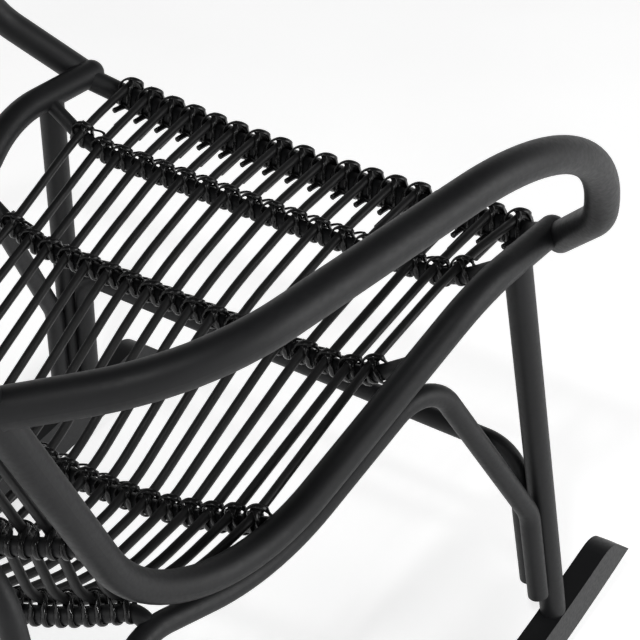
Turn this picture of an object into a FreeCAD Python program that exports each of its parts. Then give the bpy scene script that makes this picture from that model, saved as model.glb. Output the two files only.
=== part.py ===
import FreeCAD, Part
import math
import os
from FreeCAD import Vector

# Rocking chair: a frame of bent and welded tube on two curved runners, with a seat and back of
# bent wicker rods that lie on cross bars and hook round the front tube and the top rail.
# Millimetres. +Z is up and the chair faces -Y. X = 0 is the mid-plane, Y = 0 the middle of the
# runners and Z = 0 the floor. Points are given for the +X side, the sitter's left, and mirrored.

# Diameters
SIDE_OD = 24.0
ARM_OD = 26.0
LEG_OD = 23.0
BRACE_OD = 18.0
STRETCHER_OD = 18.0
FRONT_OD = 20.0
BAR_OD = 13.0
ROD_OD = 7.3

# Clearances
LAY_GAP = 0.3       # a rod from the bar that it lies on
WELD_GAP = 0.3      # two tubes welded side by side

# Side tube: seat rail and back upright in one, corner points and bend radii
RAIL_FRONT = Vector(239.0, -340.4, 427.8)
RAIL_KNEE = Vector(238.4, -234.1, 431.8)
RAIL_KNEE_R = 120.0
SEAT_CORNER = Vector(175.6, 63.3, 261.5)
SEAT_CORNER_R = 134.0
UPRIGHT_TOP = Vector(170.0, 266.5, 745.0)

# Top rail: a hoop that closes the two uprights
HOOP_Z = 826.0
HOOP_R = 35.0

# Arm: from the front end of the rail out, up, back and in to the upright
ARM_FRONT = Vector(246.4, -340.5, 423.6)
ARM_KNEE = Vector(301.0, -297.1, 483.7)
ARM_KNEE_R = 73.0
ARM_BEND = Vector(335.3, -228.8, 623.4)
ARM_BEND_R = 188.0
ARM_REAR = Vector(266.4, 120.9, 587.4)
ARM_REAR_R = 168.0
ARM_MEETS_Z = 567.7         # height where the arm meets the upright
ARM_SHORT = 6.0             # the arm's end stays this far from the upright's axis

# Front leg
LEG_TOP_Y = -286.6          # on the rail
LEG_FOOT = Vector(280.0, -310.5, 50.0)

# Brace: up behind the leg from above the runner, under the rail, and down as the rear leg
BRACE_FOOT_Z = 95.0
BRACE_LOW_Z = 188.0
BRACE_HIGH_Y = -172.0
BRACE_LEVEL = 13.0          # slope of its run under the seat, in degrees
BRACE_REAR_Y = 126.0
REAR_FOOT = Vector(279.5, 236.0, 55.0)
BRACE_KNEE_R = 40.0
REAR_KNEE_R = 60.0

# Stretchers: one arch between the front legs and one between the rear feet
FRONT_ARCH_Z = 231.5
FRONT_ARCH_R = 32.0
FRONT_ARCH_FOOT_Z = 88.0
REAR_ARCH_FOOT = Vector(262.0, 238.0, 34.0)
REAR_ARCH_CORNER = Vector(147.0, 187.0, 440.0)
REAR_ARCH_R = 60.0

# Runners
RUNNER_X = 279.5
RUNNER_WIDTH = 22.0
RUNNER_HEIGHT = 42.0
RUNNER_LENGTH = 870.0
RUNNER_R = 1640.0
RUNNER_END_SLOPE = 49.0     # of the end faces, in degrees
RUNNER_END_R = 32.0
LAND_Y = -22.0              # middle of the short flat that the chair comes to rest on
LAND_LENGTH = 80.0

# Front tube
FRONT_AT_Y = -332.0         # where it meets the rail
FRONT_KNEE = Vector(212.0, -352.0, 408.0)
FRONT_SAG = 10.5
FRONT_KNEE_R = 20.0
FRONT_INSET = 20.2          # outermost rod from the rail, surface to surface in X

# Cross bars: where each meets the side tube, or the brace for the first back bar, how far its knee
# lies inboard of and below that point, the knee's radius, how far its middle sags and sets back,
# and how far the outermost rod is inset
BARS = {
    "seat_bar_1": dict(y=-279.0, inboard=54.0, drop=36.2, knee_r=90.0, sag=2.0, setback=0.0, inset=24.5),
    "seat_bar_2": dict(y=-173.5, inboard=52.5, drop=37.2, knee_r=80.0, sag=1.5, setback=0.0, inset=23.0),
    "seat_bar_3": dict(y=-32.0, inboard=9.0, drop=-0.4, knee_r=20.0, sag=46.0, setback=0.0, inset=0.3),
    "back_bar_1": dict(y=86.5, inboard=14.0, drop=-9.2, knee_r=15.0, sag=24.0, setback=46.0, inset=6.4),
    "back_bar_2": dict(z=406.5, inboard=14.0, drop=0.0, knee_r=20.0, sag=16.0, setback=37.0, inset=4.0),
    "back_bar_3": dict(z=562.0, inboard=14.0, drop=0.0, knee_r=20.0, sag=11.0, setback=27.0, inset=5.0),
    "back_bar_4": dict(z=695.0, inboard=14.0, drop=0.0, knee_r=20.0, sag=8.0, setback=20.0, inset=8.0),
}
SEAT_BARS = 3               # of these, the first ones are under the seat
BRACE_BAR = "back_bar_1"    # the one that the braces carry
BAR_CURVED = 0.85           # share of a bar's half span that is curved

# Wicker rods
ROD_COUNT = 18
ROD_TAIL = 28.0             # straight end past the hook
TOP_INSET = 22.0            # outermost rod from the upright, surface to surface in X
SEAT_DIP = 0.135            # dip between the last seat bar and the first back bar, per length
ROD_RADII = [330.0, 420.0, 160.0, 100.0, 55.0, 150.0, 150.0, 150.0]

UP = Vector(0, 0, 1)
FORWARD = Vector(0, -1, 0)


def unit(vector):
    return Vector(vector).normalize()


def mirrored(point):
    return Vector(-point.x, point.y, point.z)


def half_turn(before, corner, after):
    """Half the angle through which a path turns at a corner."""
    return unit(corner - before).getAngle(unit(after - corner)) / 2


def bent(points, radii):
    """Edges of a path of straight runs joined by tangent arcs."""
    edges = []
    start = points[0]
    for before, corner, after, radius in zip(points, points[1:], points[2:], radii):
        back = unit(before - corner)
        ahead = unit(after - corner)
        half = half_turn(before, corner, after)
        reach = radius * math.tan(half)
        middle = corner + unit(back + ahead) * radius * (1 / math.cos(half) - 1)
        edges.append(Part.makeLine(start, corner + back * reach))
        edges.append(Part.Arc(corner + back * reach, middle, corner + ahead * reach).toShape())
        start = corner + ahead * reach
    edges.append(Part.makeLine(start, points[-1]))
    return edges


def tube(edges, diameter):
    """Round solid swept along a path."""
    first = edges[0]
    start = first.valueAt(first.FirstParameter)
    circle = Part.makeCircle(diameter / 2, start, first.tangentAt(first.FirstParameter))
    return Part.Wire(edges).makePipeShell([Part.Wire(circle)], True, False)


def fitted(shape, *others):
    """The shape with its ends coped to the pieces that it is welded to."""
    solids = shape.cut(Part.makeCompound(list(others))).Solids
    return max(solids, key=lambda solid: solid.Volume)


def crossing(edges, axis, value):
    """Point and tangent of a path where one of its coordinates last reaches a value."""
    points = Part.Wire(edges).discretize(Number=600)
    points.reverse()
    for near, far in zip(points, points[1:]):
        low = getattr(near, axis)
        high = getattr(far, axis)
        if min(low, high) <= value <= max(low, high) and low != high:
            return near + (far - near) * ((value - low) / (high - low)), unit(far - near)


def side_path():
    return bent([RAIL_FRONT, RAIL_KNEE, SEAT_CORNER, UPRIGHT_TOP], [RAIL_KNEE_R, SEAT_CORNER_R])


def side_tube():
    """Seat rail and back upright, with a rounded front end."""
    dome = Part.makeSphere(SIDE_OD / 2, RAIL_FRONT, RAIL_FRONT - RAIL_KNEE, 0, 90)
    return tube(side_path(), SIDE_OD).fuse(dome)


def top_path():
    upward = unit(UPRIGHT_TOP - SEAT_CORNER)
    corner = UPRIGHT_TOP + upward * ((HOOP_Z - UPRIGHT_TOP.z) / upward.z)
    corners = [UPRIGHT_TOP, corner, mirrored(corner), mirrored(UPRIGHT_TOP)]
    return bent(corners, [HOOP_R, HOOP_R])


def arm(side):
    meets, _ = crossing(side_path(), "z", ARM_MEETS_Z)
    end = meets + unit(ARM_REAR - meets) * ARM_SHORT
    corners = [ARM_FRONT, ARM_KNEE, ARM_BEND, ARM_REAR, end]
    return fitted(tube(bent(corners, [ARM_KNEE_R, ARM_BEND_R, ARM_REAR_R]), ARM_OD), side)


def leg_line():
    top, _ = crossing(side_path(), "y", LEG_TOP_Y)
    return top, LEG_FOOT


def beside_leg(towards, distance, height):
    """Point at a height on a line beside the leg, parallel to it."""
    top, foot = leg_line()
    along = unit(top - foot)
    across = unit(towards - along * towards.dot(along))
    start = foot + across * distance
    return start + along * ((height - start.z) / along.z)


def leg(side, runner):
    top, foot = leg_line()
    return fitted(tube([Part.makeLine(foot, top)], LEG_OD), side, runner)


def brace_path():
    """Up behind the leg, along under the rail, under the seat corner and down to the runner."""
    beside = (LEG_OD + BRACE_OD) / 2 + WELD_GAP
    under = (SIDE_OD + BRACE_OD) / 2 + WELD_GAP
    foot = beside_leg(-FORWARD, beside, BRACE_FOOT_Z)
    low_knee = beside_leg(-FORWARD, beside, BRACE_LOW_Z)

    along = unit(SEAT_CORNER - RAIL_KNEE)
    normal = unit(Vector(0, along.z, -along.y))
    on_rail, _ = crossing(side_path(), "y", BRACE_HIGH_Y)
    high_knee = on_rail + normal * under

    # The run under the seat is tangent to a circle about the rail's own bend
    slope = math.radians(BRACE_LEVEL)
    level_normal = Vector(0, math.sin(slope), -math.cos(slope))
    upward = unit(UPRIGHT_TOP - SEAT_CORNER)
    half = half_turn(RAIL_KNEE, SEAT_CORNER, UPRIGHT_TOP)
    centre = SEAT_CORNER + unit(upward - along) * (SEAT_CORNER_R / math.cos(half))
    radius = SEAT_CORNER_R + under
    low_corner = centre + (normal + level_normal) * (radius / (1 + normal.dot(level_normal)))
    low_corner.x = high_knee.x + along.x / along.y * (low_corner.y - high_knee.y)
    rise = math.tan(slope) * (BRACE_REAR_Y - low_corner.y)
    rear_knee = Vector(UPRIGHT_TOP.x, BRACE_REAR_Y, low_corner.z + rise)
    corners = [foot, low_knee, high_knee, low_corner, rear_knee, REAR_FOOT]
    return bent(corners, [BRACE_KNEE_R, BRACE_KNEE_R, radius, REAR_KNEE_R])


def front_stretcher():
    """Arch with its risers against the legs' inner sides, ending short of the runners."""
    beside = (LEG_OD + STRETCHER_OD) / 2 + WELD_GAP
    inward = Vector(-1, 0, 0)
    foot = beside_leg(inward, beside, FRONT_ARCH_FOOT_Z)
    corner = beside_leg(inward, beside, FRONT_ARCH_Z)
    path = bent([foot, corner, mirrored(corner), mirrored(foot)], [FRONT_ARCH_R, FRONT_ARCH_R])
    return tube(path, STRETCHER_OD)


def rear_stretcher(runners):
    corners = [REAR_ARCH_FOOT, REAR_ARCH_CORNER, mirrored(REAR_ARCH_CORNER), mirrored(REAR_ARCH_FOOT)]
    return fitted(tube(bent(corners, [REAR_ARCH_R, REAR_ARCH_R]), STRETCHER_OD), *runners)


def runner_edge(sign, y, height):
    """Point of a runner's long edge, a height above its underside, towards one end."""
    centre_y = LAND_Y + sign * LAND_LENGTH / 2
    return Vector(0, y, RUNNER_R - math.sqrt((RUNNER_R - height) ** 2 - (y - centre_y) ** 2))


def runner_upper_y(sign):
    """Where a runner's slanted end face meets its upper edge."""
    return sign * (RUNNER_LENGTH / 2 - RUNNER_HEIGHT / math.tan(math.radians(RUNNER_END_SLOPE)))


def runner_end(sign):
    """End face, underside and upper edge of one end of a runner."""
    flat_y = LAND_Y + sign * LAND_LENGTH / 2
    tip_y = sign * RUNNER_LENGTH / 2
    upper_y = runner_upper_y(sign)
    face = Part.makeLine(runner_edge(sign, tip_y, 0), runner_edge(sign, upper_y, RUNNER_HEIGHT))
    edges = [face]
    for height, end_y in ((0, tip_y), (RUNNER_HEIGHT, upper_y)):
        arc_y = (flat_y, (flat_y + end_y) / 2, end_y)
        edges.append(Part.Arc(*[runner_edge(sign, y, height) for y in arc_y]).toShape())
    return edges


def runner():
    """Curved bar with a short flat underneath and slanted, rounded ends."""
    outline = runner_end(-1) + runner_end(1)
    for height in (0, RUNNER_HEIGHT):
        outline.append(Part.makeLine(*[Vector(0, LAND_Y + sign * LAND_LENGTH / 2, height) for sign in (-1, 1)]))
    face = Part.Face(Part.Wire(Part.__sortEdges__(outline)))
    bar = face.extrude(Vector(RUNNER_WIDTH, 0, 0))
    bar = bar.makeFillet(RUNNER_END_R, [edge for edge in bar.Edges if is_upper_end(edge)])
    bar.translate(Vector(RUNNER_X - RUNNER_WIDTH / 2, 0, 0))
    return bar


def is_upper_end(edge):
    """Whether an edge is one of the two that cross a runner at the top of its end faces."""
    crosses = edge.BoundBox.XLength > RUNNER_WIDTH / 2
    at_end = any(abs(edge.CenterOfMass.y - runner_upper_y(sign)) < 0.01 for sign in (-1, 1))
    return crosses and at_end


def spanning(end, knee, knee_r, sag, setback):
    """Path of a bar from side to side: short ends, knees and one long curve."""
    deepen = 1 / (1 - BAR_CURVED / 2)
    middle = Vector(0, knee.y + setback * deepen, knee.z - sag * deepen)
    radius = BAR_CURVED * (middle - knee).Length / math.tan(half_turn(knee, middle, mirrored(knee)))
    corners = [end, knee, middle, mirrored(knee), mirrored(end)]
    return bent(corners, [knee_r, radius, knee_r])


def front_path():
    end, _ = crossing(side_path(), "y", FRONT_AT_Y)
    return spanning(end, FRONT_KNEE, FRONT_KNEE_R, FRONT_SAG, 0.0)


def bar_path(name):
    bar = BARS[name]
    axis = "y" if "y" in bar else "z"
    carrier = brace_path() if name == BRACE_BAR else side_path()
    end, _ = crossing(carrier, axis, bar[axis])
    knee = end + Vector(-bar["inboard"], 0, -bar["drop"])
    return spanning(end, knee, bar["knee_r"], bar["sag"], bar["setback"])


def rod_half_width(edges, inset):
    """Outermost rod's distance from the mid-plane where it crosses a bar."""
    return edges[0].valueAt(edges[0].FirstParameter).x - (SIDE_OD + ROD_OD) / 2 - inset


def tangent_point(centre, radius, outside, towards):
    """Where a line from an outside point touches a circle, on the side given."""
    away = outside - centre
    along = unit(away)
    across = unit(towards - along * towards.dot(along))
    angle = math.acos(radius / away.Length)
    return centre + (along * math.cos(angle) + across * math.sin(angle)) * radius


def hook(centre, touch, neighbour):
    """Half turn round a tube and a straight tail, from the tail's end to the touching point."""
    ahead = unit(touch - neighbour)
    radius = (touch - centre).Length
    under = centre * 2 - touch
    tail_end = under - ahead * ROD_TAIL
    return Part.makeLine(tail_end, under), Part.Arc(under, centre + ahead * radius, touch).toShape()


def passing(stations, first, last, radii):
    """Corners moved out so that the arcs, and not the corners, pass through the stations."""
    corners = list(stations)
    for _ in range(4):
        line = [first] + corners + [last]
        for index, radius in enumerate(radii):
            before, corner, after = line[index:index + 3]
            outward = unit((corner - before).normalize() - (after - corner).normalize())
            half = half_turn(before, corner, after)
            corners[index] = stations[index] + outward * radius * (1 / math.cos(half) - 1)
    return corners


def dipped(last_seat, first_back):
    """Point of a rod below the straight line from the last seat bar to the first back bar."""
    chord = first_back - last_seat
    below = unit(Vector(0, chord.z, -chord.y))
    return (last_seat + first_back) / 2 + below * chord.Length * SEAT_DIP


def lifted(met, front_centre, top_centre):
    """Stations of a rod: points on top of the bars, and the dip between seat and back."""
    line = [front_centre] + [point for point, _ in met] + [top_centre]
    line.insert(SEAT_BARS + 1, dipped(line[SEAT_BARS], line[SEAT_BARS + 1]))
    stations = []
    for point, along_bar in met:
        place = line.index(point)
        along_rod = unit(point - line[place - 1]) + unit(line[place + 1] - point)
        normal = unit(along_bar.cross(along_rod))
        if normal.dot(UP + FORWARD) < 0:
            normal = -normal
        stations.append(point + normal * ((BAR_OD + ROD_OD) / 2 + LAY_GAP))
    stations.insert(SEAT_BARS, dipped(stations[SEAT_BARS - 1], stations[SEAT_BARS]))
    return stations


def rod(share, front, bars, top):
    """One wicker rod; share runs from -1 at the sitter's right to 1 at their left."""
    front_centre, _ = crossing(front, "x", share * rod_half_width(front, FRONT_INSET))
    top_centre, _ = crossing(top, "x", share * rod_half_width(top, TOP_INSET))
    met = [crossing(path, "x", share * rod_half_width(path, bar["inset"]))
           for bar, path in zip(BARS.values(), bars)]
    stations = lifted(met, front_centre, top_centre)

    front_r = (FRONT_OD + ROD_OD) / 2 + LAY_GAP
    top_r = (SIDE_OD + ROD_OD) / 2 + LAY_GAP
    corners = stations
    for _ in range(3):
        first = tangent_point(front_centre, front_r, corners[0], UP)
        last = tangent_point(top_centre, top_r, corners[-1], FORWARD)
        corners = passing(stations, first, last, ROD_RADII)
    first = tangent_point(front_centre, front_r, corners[0], UP)
    last = tangent_point(top_centre, top_r, corners[-1], FORWARD)

    front_hook = hook(front_centre, first, corners[0])
    top_hook = hook(top_centre, last, corners[-1])
    path = list(front_hook) + bent([first] + corners + [last], ROD_RADII) + list(reversed(top_hook))
    return tube(path, ROD_OD)


def mirror_of(shape):
    return shape.mirror(Vector(0, 0, 0), Vector(1, 0, 0))


def chair():
    """Every piece by name."""
    left = {"side_tube": side_tube(), "runner": runner()}
    left["arm"] = arm(left["side_tube"])
    left["leg"] = leg(left["side_tube"], left["runner"])
    left["brace"] = fitted(tube(brace_path(), BRACE_OD), left["runner"])
    pieces = {}
    for name, shape in left.items():
        pieces[name + "_left"] = shape
        pieces[name + "_right"] = mirror_of(shape)

    sides = [pieces["side_tube_left"], pieces["side_tube_right"]]
    legs = [pieces["leg_left"], pieces["leg_right"]]
    runners = [pieces["runner_left"], pieces["runner_right"]]
    pieces["top_rail"] = tube(top_path(), SIDE_OD)
    pieces["front_stretcher"] = front_stretcher()
    pieces["rear_stretcher"] = rear_stretcher(runners)
    pieces["front_tube"] = fitted(tube(front_path(), FRONT_OD), *sides)
    braces = [pieces["brace_left"], pieces["brace_right"]]
    bars = [bar_path(name) for name in BARS]
    for name, path in zip(BARS, bars):
        pieces[name] = fitted(tube(path, BAR_OD), *sides, *legs, *braces)

    for index in range(ROD_COUNT):
        share = 2 * index / (ROD_COUNT - 1) - 1
        pieces["rod_%02d" % (index + 1)] = rod(share, front_path(), bars, top_path())
    return pieces


os.makedirs("parts", exist_ok=True)
for piece_name, piece in chair().items():
    piece.exportStep("parts/%s.step" % piece_name)
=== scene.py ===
import math

import bmesh
import bpy
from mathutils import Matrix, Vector


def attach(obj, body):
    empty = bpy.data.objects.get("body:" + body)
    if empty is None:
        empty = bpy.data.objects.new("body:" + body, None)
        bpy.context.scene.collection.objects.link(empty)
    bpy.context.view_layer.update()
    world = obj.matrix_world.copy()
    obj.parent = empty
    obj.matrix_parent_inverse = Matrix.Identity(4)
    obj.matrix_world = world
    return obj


# A black rocking chair of powder-coated tube with a seat and back of plastic wicker.
# The tubes, bars and rods are the frame's own nodes. This script adds the wicker strips that lash
# the rods to the bars, the materials, the floor, the light and the camera. Metres.

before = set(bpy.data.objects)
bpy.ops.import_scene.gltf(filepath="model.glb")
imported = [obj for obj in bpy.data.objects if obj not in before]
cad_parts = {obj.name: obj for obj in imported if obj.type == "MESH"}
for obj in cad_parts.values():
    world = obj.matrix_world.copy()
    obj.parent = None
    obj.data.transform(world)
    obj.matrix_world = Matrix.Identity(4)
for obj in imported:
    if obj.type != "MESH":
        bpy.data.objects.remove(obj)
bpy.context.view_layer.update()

# Wicker rods and the tubes that they lie on, as in the part
ROD_COUNT = 18
ROD_RADIUS = 0.00365
BAR_RADIUS = 0.0065
FRONT_RADIUS = 0.010
TOP_RADIUS = 0.012
LAY_GAP = 0.0003
# Carriers from the seat's front edge to the top, with the outermost rod's distance from the
# mid-plane on each
CARRIERS = {
    "front_tube": 0.2031,
    "seat_bar_1": 0.1985,
    "seat_bar_2": 0.1870,
    "seat_bar_3": 0.1801,
    "back_bar_1": 0.1543,
    "back_bar_2": 0.1543,
    "back_bar_3": 0.1515,
    "back_bar_4": 0.1469,
    "top_rail": 0.1324,
}
# Tubes that the rods end on in a hook, with their radii; the other carriers are bars
HOOKED = {"front_tube": FRONT_RADIUS, "top_rail": TOP_RADIUS}

# Lashing strip
STRIP_HALF_WIDTH = 0.0024
STRIP_HALF_THICK = 0.0010
STRIP_CLEAR = 0.0003
STRIP_SIDES = 8
STRIP_STEPS = 4             # rings from one point of the strip to the next
STRIP_LEAN = 0.62           # how far the strip slants over a rod, as a share of its turn's radius
# Distance of the strip's middle from a rod's middle, in its first and its second pass
FLANK = ROD_RADIUS + STRIP_HALF_THICK + STRIP_CLEAR
SECOND_FLANK = FLANK + 2 * STRIP_HALF_THICK + STRIP_CLEAR
# Slack of the strip between two rods, more on the two bars where it leaves an open slit
STAND_OFF = 0.002
STAND_OFFS = {"seat_bar_1": 0.0055, "seat_bar_3": 0.0045}
FILLED = ("seat_bar_2",)    # bars with one more turn between two rods
TURN_STEP = 0.0052          # advance of a full turn along its carrier
TURN_POINTS = 10
TAIL_LENGTH = 0.013         # loose end of wicker behind the seat's front edge
TAIL_RADIUS = 0.0026
# Places on the turn round a carrier, in degrees: 0 is forward, 90 towards the rod
RISE = 20.0
DOWN_BACK = (160.0, 200.0)
UP_FRONT = (245.0, 295.0, 340.0)
START = (-90.0, -55.0, -20.0)
OVER = (-90.0, -45.0, 0.0, 45.0, 90.0)      # over a rod, from one side to the other

# Camera, solved from the photograph
CAMERA_AT = Vector((-0.7941, 0.7245, 1.1890))
CAMERA_AZIMUTH = 33.5       # degrees from -Y towards +X
CAMERA_PITCH = 35.8         # degrees below the horizon
CAMERA_LENS = 101.1         # mm
CAMERA_SENSOR = 36.0        # mm
CAMERA_SHIFT = (-0.1145, 0.0203)

# Floor and light
WHITE = (1.0, 1.0, 1.0, 1.0)
FLOOR_SIZE = 40.0
FLOOR_Z = -0.0005           # just below the runners
FLOOR_GLOW = 0.54           # makes the floor show white
SKY_LIGHT = 1.4             # light from the surroundings
SKY_TOP = 0.05              # share of it from overhead
SKY_FADE = (0.15, 0.65)     # sines of the heights where it starts and ends to darken
LAMP_TARGET = (0.0, 0.0, 0.4)
# Place, diameter and power in watts: a large soft one from the right, one from behind, and a small
# one for the strips' glints
LAMPS = {
    "key": ((-2.2, -0.9, 1.0), 1.8, 32.0),
    "fill": ((0.6, 2.4, 1.6), 1.8, 12.0),
    "glint": ((-0.7, 1.1, 2.3), 0.16, 12.0),
}

# Materials: colours from dark to light, the range of roughness, and the stretch of drawn lines
COAT_COLOURS = ((0.0050, 0.0052, 0.0058, 1), (0.0072, 0.0075, 0.0083, 1))
COAT_ROUGH = (0.46, 0.54)
WICKER_COLOURS = ((0.0055, 0.0055, 0.0058, 1), (0.0100, 0.0100, 0.0104, 1))
ROD_ROUGH = (0.42, 0.52)
STRIP_ROUGH = (0.18, 0.28)
ROD_STRETCH = (1.0, 0.05, 0.05)
STRIP_STRETCH = (0.3, 0.3, 0.3)
FLOOR_GREYS = (0.80, 0.84)
NOISE_RANGE = (0.35, 0.65)  # noise values that get the first and the last colour


def node_material(name):
    """New material with its node tree and its shader."""
    material = bpy.data.materials.new(name)
    material.use_nodes = True
    tree = material.node_tree
    return material, tree, tree.nodes["Principled BSDF"]


def noise(tree, scale, detail, stretch=(1, 1, 1)):
    """Noise in the chair's own frame, stretched along an axis by a small factor there."""
    place = tree.nodes.new("ShaderNodeTexCoord")
    mapping = tree.nodes.new("ShaderNodeMapping")
    mapping.inputs["Scale"].default_value = stretch
    texture = tree.nodes.new("ShaderNodeTexNoise")
    texture.inputs["Scale"].default_value = scale
    texture.inputs["Detail"].default_value = detail
    tree.links.new(place.outputs["Object"], mapping.inputs["Vector"])
    tree.links.new(mapping.outputs["Vector"], texture.inputs["Vector"])
    return texture.outputs["Fac"]


def ramp(tree, value, low, high):
    """Maps a noise value to a range of colours or greys."""
    node = tree.nodes.new("ShaderNodeValToRGB")
    for element, position, colour in zip(node.color_ramp.elements, NOISE_RANGE, (low, high)):
        element.position = position
        element.color = colour
    tree.links.new(value, node.inputs["Fac"])
    return node.outputs["Color"]


def grey(level):
    """Colour of one grey level."""
    return (level, level, level, 1.0)


def roughen(tree, shader, value, levels):
    """Varies a shader's roughness between two levels."""
    low, high = levels
    tree.links.new(ramp(tree, value, grey(low), grey(high)), shader.inputs["Roughness"])


def bump(tree, shader, value, strength, distance):
    """Raises a shader's surface by a noise value."""
    node = tree.nodes.new("ShaderNodeBump")
    node.inputs["Strength"].default_value = strength
    node.inputs["Distance"].default_value = distance
    tree.links.new(value, node.inputs["Height"])
    tree.links.new(node.outputs["Normal"], shader.inputs["Normal"])


def powder_coat():
    """Satin black powder coat: fine orange peel and slight cloudiness."""
    material, tree, shader = node_material("powder_coat")
    cloud = noise(tree, 22.0, 3.0)
    tree.links.new(ramp(tree, cloud, *COAT_COLOURS), shader.inputs["Base Color"])
    roughen(tree, shader, noise(tree, 300.0, 2.0), COAT_ROUGH)
    shader.inputs["Specular IOR Level"].default_value = 0.28
    bump(tree, shader, noise(tree, 1500.0, 2.0), 0.12, 0.0004)
    return material


def wicker(name, stretch, rough):
    """Extruded plastic wicker: darker and glossier, with drawn lines along its length."""
    material, tree, shader = node_material(name)
    lines = noise(tree, 900.0, 4.0, stretch)
    tree.links.new(ramp(tree, lines, *WICKER_COLOURS), shader.inputs["Base Color"])
    roughen(tree, shader, noise(tree, 120.0, 3.0), rough)
    shader.inputs["Specular IOR Level"].default_value = 0.3
    bump(tree, shader, lines, 0.25, 0.0006)
    return material


def dress(objects, material):
    """Gives a material to nodes of the frame."""
    for obj in objects:
        if not obj.material_slots:
            obj.data.materials.append(material)
        for slot in obj.material_slots:
            slot.material = material


def centre_at(node, x):
    """Centre of a bar where it crosses the plane at x."""
    cut = bmesh.new()
    cut.from_mesh(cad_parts[node].data)
    geometry = cut.verts[:] + cut.edges[:] + cut.faces[:]
    plane = bmesh.ops.bisect_plane(cut, geom=geometry, plane_co=(x, 0, 0), plane_no=(1, 0, 0))
    ring = [v.co.copy() for v in plane["geom_cut"] if isinstance(v, bmesh.types.BMVert)]
    cut.free()
    middle = [(min(v[i] for v in ring) + max(v[i] for v in ring)) / 2 for i in (1, 2)]
    return Vector((x, *middle))


def crossings():
    """For each carrier, from the sitter's left to their right, its centre at each rod."""
    centres = {}
    for name, spread in CARRIERS.items():
        shares = [1 - 2 * rod / (ROD_COUNT - 1) for rod in range(ROD_COUNT)]
        centres[name] = [centre_at(name, share * spread) for share in shares]
    return centres


def local_frames(centres, name):
    """At each rod of a carrier: its centre, and the directions along it, forward and to the rod."""
    names = list(CARRIERS)
    place = names.index(name)
    before = centres[names[max(place - 1, 0)]]
    after = centres[names[min(place + 1, len(names) - 1)]]
    line = centres[name]
    if place == len(names) - 1:
        # The last carrier's hooks lie on its other side, so it is lashed from that side
        before, after, line = line[::-1], before[::-1], line[::-1]
    frames = []
    for rod, centre in enumerate(line):
        along = (line[min(rod + 1, ROD_COUNT - 1)] - line[max(rod - 1, 0)]).normalized()
        forward = before[rod] - after[rod]
        forward = (forward - along * forward.dot(along)).normalized()
        frames.append((centre, along, forward, along.cross(forward)))
    return frames


def radial(t, degrees, radius):
    """Point and normal on a circle round a carrier: 0 is forward, 90 towards the rod."""
    c = math.cos(math.radians(degrees))
    s = math.sin(math.radians(degrees))
    return (t, radius * c, radius * s), (0.0, c, s)


def turn(start, radius, degrees):
    """One full turn round a carrier."""
    return [radial(start + TURN_STEP * k / TURN_POINTS, degrees + 360.0 * k / TURN_POINTS, radius)
            for k in range(TURN_POINTS + 1)]


def over_rod(lift, reach, lean, way):
    """Strip slantwise over a rod, from one side of it to the other."""
    points = []
    for degrees in OVER:
        c = math.cos(math.radians(degrees))
        s = math.sin(math.radians(degrees))
        point = (way * reach * s, -lean * degrees / 90.0, lift + reach * c)
        points.append((point, (way * s, 0.0, c)))
    return points


def cross_lash(round_r, lift):
    """Strip over a rod one way, round the carrier, over the rod the other way and down its back."""
    lean = STRIP_LEAN * round_r
    points = [radial(-FLANK, RISE, round_r)]
    points += over_rod(lift, FLANK, lean, 1)
    points += [radial(FLANK, degrees, round_r) for degrees in DOWN_BACK + UP_FRONT + (360.0 + RISE,)]
    points += over_rod(lift, SECOND_FLANK, lean, -1)
    points += [radial(-FLANK, degrees, round_r) for degrees in DOWN_BACK]
    return points


def slack(round_r, pitch, away):
    """Strip that comes up in front, under its rod, and on to the next one, away from the bar."""
    front = [radial(-FLANK, degrees, round_r) for degrees in UP_FRONT]
    return front + [((0.0, round_r + 0.5 * away, 0.0005), (0.0, 0.8, 0.6)),
                    ((0.5 * pitch, round_r + away, 0.85 * away), (0.0, 0.65, 0.76))]


def between(round_r, pitch):
    """Strip that passes behind a rod and turns once round the tube before the next one."""
    start = 0.5 * (pitch - TURN_STEP)
    passed = [((0.0, -round_r - STRIP_HALF_THICK, -0.002), (0.0, -1.0, 0.0))]
    front = [radial(pitch - FLANK, degrees, round_r) for degrees in UP_FRONT]
    return passed + turn(start, round_r, DOWN_BACK[-1]) + front


def tail(round_r):
    """Loose end that comes from behind the tube and points back below its rod."""
    up = (0.0, 0.0, 1.0)
    return [((0.0, -round_r + 0.001, -0.003), up),
            ((0.0, -round_r - 0.5 * TAIL_LENGTH, -0.0015), up),
            ((0.0, -round_r - TAIL_LENGTH, -0.0005), up)]


def placed(steps, local):
    """Points and normals of a strip in the chair's frame."""
    centre, along, forward, normal = local
    return [(centre + along * t + forward * s + normal * n, along * mt + forward * ms + normal * mn)
            for (t, s, n), (mt, ms, mn) in steps]


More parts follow.
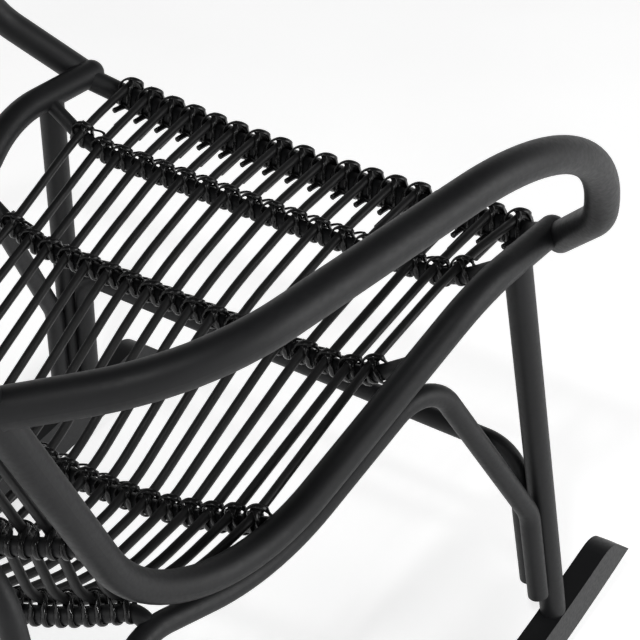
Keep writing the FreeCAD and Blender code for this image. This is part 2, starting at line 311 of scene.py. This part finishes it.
def lash(name, frames, material):
    """The strips that tie every rod to one carrier."""
    radius = HOOKED.get(name, BAR_RADIUS)
    round_r = radius + STRIP_HALF_THICK + STRIP_CLEAR
    lift = radius + LAY_GAP + ROD_RADIUS
    pitches = [(other[0] - local[0]).length for local, other in zip(frames, frames[1:])]
    path = placed([radial(-FLANK, degrees, round_r) for degrees in START], frames[0])
    for rod, local in enumerate(frames):
        steps = cross_lash(round_r, lift)
        if rod == ROD_COUNT - 1:
            steps += [radial(-FLANK, degrees, round_r) for degrees in UP_FRONT]
        elif name in HOOKED:
            steps += between(round_r, pitches[rod])
        else:
            steps += slack(round_r, pitches[rod], STAND_OFFS.get(name, STAND_OFF))
        path += placed(steps, local)
    strips = [path]
    if name in FILLED:
        for local, pitch in zip(frames, pitches):
            start = 0.5 * pitch - 0.5 * TURN_STEP
            strips.append(placed(turn(start, round_r, 270.0), local))
    wind("lashing_" + name, strips, STRIP_HALF_WIDTH, STRIP_HALF_THICK, material)
    if name == "front_tube":
        tails = [placed(tail(round_r), local) for local in frames]
        wind("tails_" + name, tails, TAIL_RADIUS, TAIL_RADIUS, material)


def smooth(path):
    """Points and normals along a smooth line through a path's points."""
    ends = [path[0]] + path + [path[-1]]
    line = []
    for index in range(len(path) - 1):
        quad = ends[index:index + 4]
        for step in range(STRIP_STEPS):
            x = step / STRIP_STEPS
            weights = (-x + 2 * x ** 2 - x ** 3, 2 - 5 * x ** 2 + 3 * x ** 3,
                       x + 4 * x ** 2 - 3 * x ** 3, x ** 3 - x ** 2)
            point = sum((p * w / 2 for (p, _), w in zip(quad, weights)), Vector())
            outward = quad[1][1].lerp(quad[2][1], x)
            line.append((point, outward))
    line.append(path[-1])
    return line


def sweep(mesh, path, half_width, half_thick):
    """Adds a strip with rounded edges along a path, its broad side facing the path's normals."""
    line = smooth(path)
    rings = []
    for index, (point, outward) in enumerate(line):
        ahead = (line[min(index + 1, len(line) - 1)][0] - line[max(index - 1, 0)][0]).normalized()
        across = ahead.cross(outward).normalized()
        face = across.cross(ahead)
        ring = []
        for side in range(STRIP_SIDES):
            angle = 2 * math.pi * (side + 0.5) / STRIP_SIDES
            offset = across * (half_width * math.cos(angle)) + face * (half_thick * math.sin(angle))
            ring.append(mesh.verts.new(point + offset))
        rings.append(ring)
    for one, two in zip(rings, rings[1:]):
        for side in range(STRIP_SIDES):
            other = (side + 1) % STRIP_SIDES
            mesh.faces.new((one[side], one[other], two[other], two[side]))
    mesh.faces.new(rings[0])
    mesh.faces.new(rings[-1])


def wind(name, paths, half_width, half_thick, material):
    """One piece made of the strips along several paths."""
    mesh = bmesh.new()
    for path in paths:
        sweep(mesh, path, half_width, half_thick)
    bmesh.ops.recalc_face_normals(mesh, faces=mesh.faces)
    data = bpy.data.meshes.new(name)
    mesh.to_mesh(data)
    mesh.free()
    data.shade_smooth()
    data.materials.append(material)
    obj = bpy.data.objects.new(name, data)
    bpy.context.scene.collection.objects.link(obj)
    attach(obj, "root")


def seen_ray(tree):
    """1 for rays from the camera, straight or through a reflection or glass."""
    path = tree.nodes.new("ShaderNodeLightPath")
    total = path.outputs["Is Camera Ray"]
    for kind in ("Is Glossy Ray", "Is Transmission Ray"):
        join = tree.nodes.new("ShaderNodeMath")
        join.operation = "MAXIMUM"
        tree.links.new(total, join.inputs[0])
        tree.links.new(path.outputs[kind], join.inputs[1])
        total = join.outputs[0]
    return total


def floor():
    """Pale floor that shows white to the camera and keeps the chair's soft shadow."""
    bpy.ops.mesh.primitive_plane_add(size=FLOOR_SIZE, location=(0, 0, FLOOR_Z))
    plane = bpy.context.object
    plane.name = "floor"
    material, tree, shader = node_material("floor")
    low, high = FLOOR_GREYS
    tree.links.new(ramp(tree, noise(tree, 3.0, 2.0), grey(low), grey(high)), shader.inputs["Base Color"])
    shader.inputs["Roughness"].default_value = 0.9
    shader.inputs["Emission Color"].default_value = WHITE
    glow = tree.nodes.new("ShaderNodeMath")
    glow.operation = "MULTIPLY"
    glow.inputs[1].default_value = FLOOR_GLOW
    tree.links.new(seen_ray(tree), glow.inputs[0])
    tree.links.new(glow.outputs[0], shader.inputs["Emission Strength"])
    plane.data.materials.append(material)


def backdrop():
    """Studio that is white down at the sides, as the camera sees it, and dark overhead."""
    world = bpy.data.worlds.new("studio")
    bpy.context.scene.world = world
    world.use_nodes = True
    tree = world.node_tree
    place = tree.nodes.new("ShaderNodeTexCoord")
    split = tree.nodes.new("ShaderNodeSeparateXYZ")
    tree.links.new(place.outputs["Generated"], split.inputs["Vector"])
    sky = tree.nodes.new("ShaderNodeValToRGB")
    for element, position, colour in zip(sky.color_ramp.elements, SKY_FADE, (WHITE, grey(SKY_TOP))):
        element.position = position
        element.color = colour
    tree.links.new(split.outputs["Z"], sky.inputs["Fac"])
    lit = tree.nodes["Background"]
    lit.inputs["Strength"].default_value = SKY_LIGHT
    shown = tree.nodes.new("ShaderNodeBackground")
    shown.inputs["Strength"].default_value = 1.0
    mix = tree.nodes.new("ShaderNodeMixShader")
    tree.links.new(sky.outputs["Color"], lit.inputs["Color"])
    tree.links.new(sky.outputs["Color"], shown.inputs["Color"])
    tree.links.new(seen_ray(tree), mix.inputs["Fac"])
    tree.links.new(lit.outputs["Background"], mix.inputs[1])
    tree.links.new(shown.outputs["Background"], mix.inputs[2])
    tree.links.new(mix.outputs["Shader"], tree.nodes["World Output"].inputs["Surface"])


def lights():
    """Round area lamps that point at the seat."""
    for name, (place, size, power) in LAMPS.items():
        data = bpy.data.lights.new(name, "AREA")
        data.shape = "DISK"
        data.size = size
        data.energy = power
        lamp = bpy.data.objects.new(name, data)
        lamp.location = place
        lamp.rotation_mode = "QUATERNION"
        lamp.rotation_quaternion = (Vector(LAMP_TARGET) - Vector(place)).to_track_quat("-Z", "Y")
        bpy.context.scene.collection.objects.link(lamp)


def camera():
    """Camera at the photograph's place and angle."""
    data = bpy.data.cameras.new("camera")
    data.lens = CAMERA_LENS
    data.sensor_width = CAMERA_SENSOR
    data.shift_x, data.shift_y = CAMERA_SHIFT
    view = bpy.data.objects.new("camera", data)
    azimuth = math.radians(CAMERA_AZIMUTH)
    pitch = math.radians(CAMERA_PITCH)
    level = math.cos(pitch)
    ahead = Vector((math.sin(azimuth) * level, -math.cos(azimuth) * level, -math.sin(pitch)))
    view.location = CAMERA_AT
    view.rotation_mode = "QUATERNION"
    view.rotation_quaternion = ahead.to_track_quat("-Z", "Y")
    bpy.context.scene.collection.objects.link(view)
    bpy.context.scene.camera = view


rods = [node for name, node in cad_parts.items() if name.startswith("rod_")]
metal = [node for name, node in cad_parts.items() if not name.startswith("rod_")]
dress(metal, powder_coat())
dress(rods, wicker("wicker_rod", ROD_STRETCH, ROD_ROUGH))
strip_wicker = wicker("wicker_strip", STRIP_STRETCH, STRIP_ROUGH)
rod_centres = crossings()
for carrier in CARRIERS:
    lash(carrier, local_frames(rod_centres, carrier), strip_wicker)
floor()
backdrop()
lights()
camera()
bpy.context.scene.view_settings.view_transform = "Standard"
